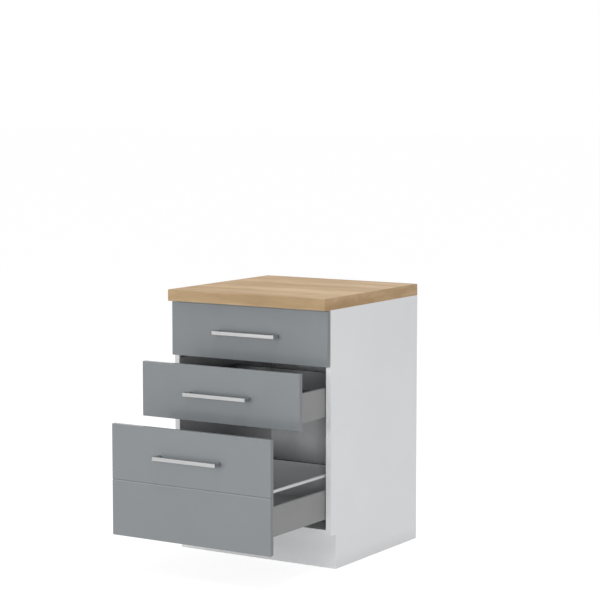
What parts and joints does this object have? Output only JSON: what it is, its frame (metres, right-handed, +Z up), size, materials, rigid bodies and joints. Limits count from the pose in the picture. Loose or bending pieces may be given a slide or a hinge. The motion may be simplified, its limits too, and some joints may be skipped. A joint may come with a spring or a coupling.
{
  "type": "base cabinet with drawers",
  "caption": "Floor-standing kitchen base cabinet with a light oak worktop, white carcass, grey gloss drawer fronts on telescopic runners, bar handles and a toe recess.",
  "frame": {"origin": "centre of the cabinet's 600 x 600 mm footprint, at floor level", "axes": "+X to the cabinet's right, +Y to its back and the wall, +Z up; the drawers open towards -Y"},
  "size_m": [0.6, 0.945, 0.87],
  "materials": {
    "white_board": "white melamine-faced chipboard, satin",
    "hardboard": "thin hardboard sheet, white lacquered inside",
    "oak_worktop": "light oak laminate, grain across the width, matt",
    "grey_front": "mid-grey high-gloss lacquered board",
    "handle_steel": "brushed satin bar",
    "grey_steel": "grey powder-coated sheet steel",
    "runner_steel": "bright zinc-plated, rolled",
    "drawer_board": "grey melamine-faced chipboard",
    "beech": "plain fluted beech",
    "zinc": "cast and zinc-plated fittings",
    "rail_steel": "light grey lacquered round rail",
    "holder_plastic": "moulded grey plastic",
    "screw_steel": "zinc-plated screws and nails"
  },
  "bodies": {
    "carcass": {"back_panel": "hardboard", "back_panel_nails": "screw_steel", "bottom_panel": "white_board", "cam_fittings": "zinc", "carcass_dowels": "beech", "plinth_board": "white_board", "runner_1_cabinet_left": "runner_steel", "runner_1_cabinet_right": "runner_steel", "runner_2_cabinet_left": "runner_steel", "runner_2_cabinet_right": "runner_steel", "runner_3_cabinet_left": "runner_steel", "runner_3_cabinet_right": "runner_steel", "runner_screws": "screw_steel", "side_panel_left": "white_board", "side_panel_right": "white_board", "top_rail_back": "white_board", "top_rail_front": "white_board", "worktop_angles": "zinc", "worktop_board": "oak_worktop", "worktop_end_strips": "oak_worktop", "worktop_screws": "screw_steel"},
    "drawer_1": {"drawer_1_back": "drawer_board", "drawer_1_back_brackets": "zinc", "drawer_1_bottom": "drawer_board", "drawer_1_front": "grey_front", "drawer_1_front_brackets": "zinc", "drawer_1_handle": "handle_steel", "drawer_1_handle_screws": "screw_steel", "drawer_1_screws": "screw_steel", "drawer_1_side_left": "grey_steel", "drawer_1_side_right": "grey_steel"},
    "runner_1_middle": {"runner_1_middle_left": "runner_steel", "runner_1_middle_right": "runner_steel"},
    "drawer_2": {"drawer_2_back": "drawer_board", "drawer_2_back_brackets": "zinc", "drawer_2_bottom": "drawer_board", "drawer_2_front": "grey_front", "drawer_2_front_brackets": "zinc", "drawer_2_handle": "handle_steel", "drawer_2_handle_screws": "screw_steel", "drawer_2_screws": "screw_steel", "drawer_2_side_left": "grey_steel", "drawer_2_side_right": "grey_steel"},
    "runner_2_middle": {"runner_2_middle_left": "runner_steel", "runner_2_middle_right": "runner_steel"},
    "drawer_3": {"drawer_3_back": "drawer_board", "drawer_3_back_brackets": "zinc", "drawer_3_bottom": "drawer_board", "drawer_3_front": "grey_front", "drawer_3_front_brackets": "zinc", "drawer_3_handle": "handle_steel", "drawer_3_handle_screws": "screw_steel", "drawer_3_screws": "screw_steel", "drawer_3_side_left": "grey_steel", "drawer_3_side_right": "grey_steel", "gallery_rail_holders": "holder_plastic", "gallery_rail_left": "rail_steel", "gallery_rail_right": "rail_steel"},
    "runner_3_middle": {"runner_3_middle_left": "runner_steel", "runner_3_middle_right": "runner_steel"}
  },
  "joints": [
    {"name": "drawer_1_slide", "type": "slide", "parent": "carcass", "child": "drawer_1", "axis": [0, -1, 0], "range_m": [0, 0.48]},
    {"name": "runner_1_slide", "type": "slide", "parent": "carcass", "child": "runner_1_middle", "axis": [0, -1, 0], "range_m": [0, 0.24]},
    {"name": "drawer_2_slide", "type": "slide", "parent": "carcass", "child": "drawer_2", "axis": [0, -1, 0], "range_m": [-0.165, 0.315]},
    {"name": "runner_2_slide", "type": "slide", "parent": "carcass", "child": "runner_2_middle", "axis": [0, -1, 0], "range_m": [-0.0825, 0.1575]},
    {"name": "drawer_3_slide", "type": "slide", "parent": "carcass", "child": "drawer_3", "axis": [0, -1, 0], "range_m": [-0.33, 0.15]},
    {"name": "runner_3_slide", "type": "slide", "parent": "carcass", "child": "runner_3_middle", "axis": [0, -1, 0], "range_m": [-0.165, 0.075]}
  ],
  "couplings": [
    {"joint": "runner_1_slide", "follows": "drawer_1_slide", "ratio": 0.5},
    {"joint": "runner_2_slide", "follows": "drawer_2_slide", "ratio": 0.5},
    {"joint": "runner_3_slide", "follows": "drawer_3_slide", "ratio": 0.5}
  ]
}
